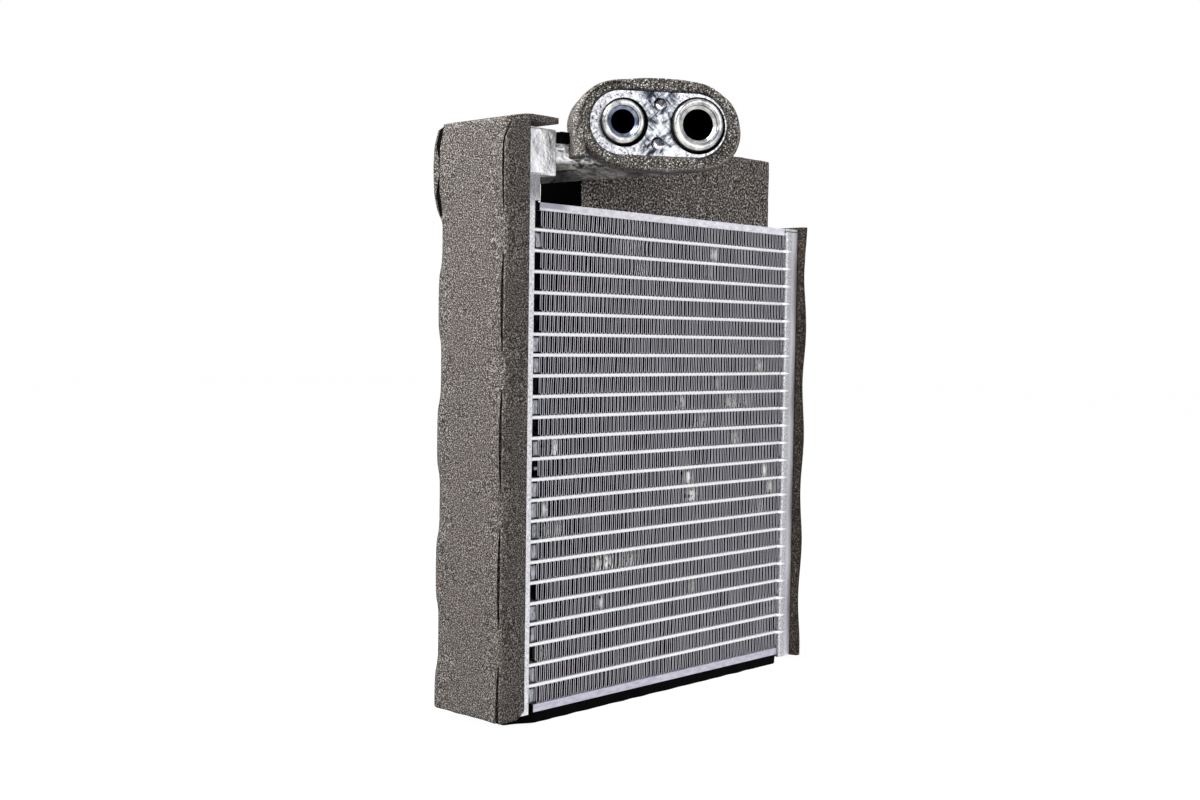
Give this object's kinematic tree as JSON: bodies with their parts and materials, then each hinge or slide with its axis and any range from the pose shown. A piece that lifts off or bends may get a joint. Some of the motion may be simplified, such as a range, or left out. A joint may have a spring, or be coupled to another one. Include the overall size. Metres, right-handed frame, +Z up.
{
  "type": "air conditioning evaporator",
  "caption": "Brazed aluminium vehicle evaporator: flat tubes and folded fins between two headers, a stamped duct to a two-port connector block, and foam seals.",
  "frame": {"origin": "under the middle of the finned core, on the underside of the bottom foam strip", "axes": "+X along the tubes from the inlet header to the return header, -Y out of the front face that the connector block stands before, +Z up"},
  "size_m": [0.2281, 0.0944, 0.2972],
  "materials": {
    "fin_aluminium": "thin clad aluminium strip after brazing, satin",
    "tube_aluminium": "extruded aluminium after brazing, satin",
    "header_aluminium": "pressed clad aluminium after brazing, satin with faint flow marks",
    "block_aluminium": "machined aluminium, bright with fine tool marks",
    "foam": "open cell foam rubber, matt grey brown with a fine sparkling grain"
  },
  "bodies": {
    "root": {"flat_tube_01": "tube_aluminium", "flat_tube_02": "tube_aluminium", "flat_tube_03": "tube_aluminium", "flat_tube_04": "tube_aluminium", "flat_tube_05": "tube_aluminium", "flat_tube_06": "tube_aluminium", "flat_tube_07": "tube_aluminium", "flat_tube_08": "tube_aluminium", "flat_tube_09": "tube_aluminium", "flat_tube_10": "tube_aluminium", "flat_tube_11": "tube_aluminium", "flat_tube_12": "tube_aluminium", "flat_tube_13": "tube_aluminium", "flat_tube_14": "tube_aluminium", "flat_tube_15": "tube_aluminium", "flat_tube_16": "tube_aluminium", "flat_tube_17": "tube_aluminium", "flat_tube_18": "tube_aluminium", "flat_tube_19": "tube_aluminium", "flat_tube_20": "tube_aluminium", "flat_tube_21": "tube_aluminium", "flat_tube_22": "tube_aluminium", "flat_tube_23": "tube_aluminium", "fin_row_01": "fin_aluminium", "fin_row_02": "fin_aluminium", "fin_row_03": "fin_aluminium", "fin_row_04": "fin_aluminium", "fin_row_05": "fin_aluminium", "fin_row_06": "fin_aluminium", "fin_row_07": "fin_aluminium", "fin_row_08": "fin_aluminium", "fin_row_09": "fin_aluminium", "fin_row_10": "fin_aluminium", "fin_row_11": "fin_aluminium", "fin_row_12": "fin_aluminium", "fin_row_13": "fin_aluminium", "fin_row_14": "fin_aluminium", "fin_row_15": "fin_aluminium", "fin_row_16": "fin_aluminium", "fin_row_17": "fin_aluminium", "fin_row_18": "fin_aluminium", "fin_row_19": "fin_aluminium", "fin_row_20": "fin_aluminium", "fin_row_21": "fin_aluminium", "fin_row_22": "fin_aluminium", "fin_row_23": "fin_aluminium", "fin_row_24": "fin_aluminium", "bottom_side_plate": "header_aluminium", "top_side_plate": "header_aluminium", "inlet_header": "header_aluminium", "return_header": "header_aluminium", "duct_bracket": "header_aluminium", "duct_front_shell": "header_aluminium", "duct_back_plate": "header_aluminium", "connector_block": "block_aluminium", "block_foam_ring": "foam", "inlet_foam_wrap": "foam", "return_foam_wrap": "foam", "bottom_foam_strip": "foam", "top_foam_pad": "foam"}
  },
  "joints": []
}
